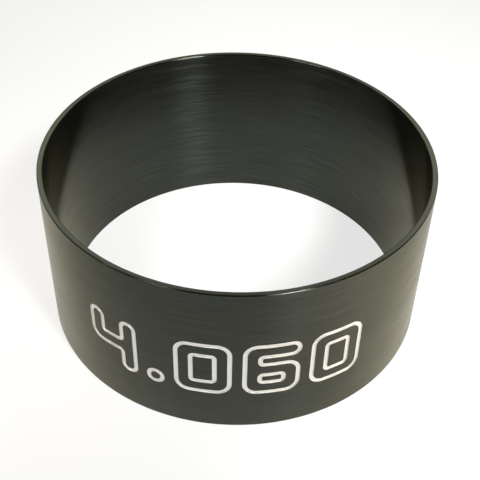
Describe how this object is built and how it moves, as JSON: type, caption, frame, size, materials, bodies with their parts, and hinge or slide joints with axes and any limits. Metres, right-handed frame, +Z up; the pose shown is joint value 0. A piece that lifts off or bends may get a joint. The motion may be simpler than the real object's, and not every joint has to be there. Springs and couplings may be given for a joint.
{
  "type": "piston ring compressor",
  "caption": "Tapered piston ring compressor: a turned aluminium sleeve whose bore narrows from a thin-rimmed mouth to a short straight land at its flat deck face.",
  "frame": {"origin": "centre of the deck face, on the bore's axis", "axes": "+Z up the bore towards the wide mouth; X and Y are alike, and the engraved side faces -Y"},
  "size_m": [0.1132, 0.1132, 0.0508],
  "materials": {
    "black_anodised": "black anodised over fine turning lines, satin, with the bore size cut through to bare metal"
  },
  "bodies": {
    "root": {"tapered_sleeve": "black_anodised"}
  },
  "joints": []
}
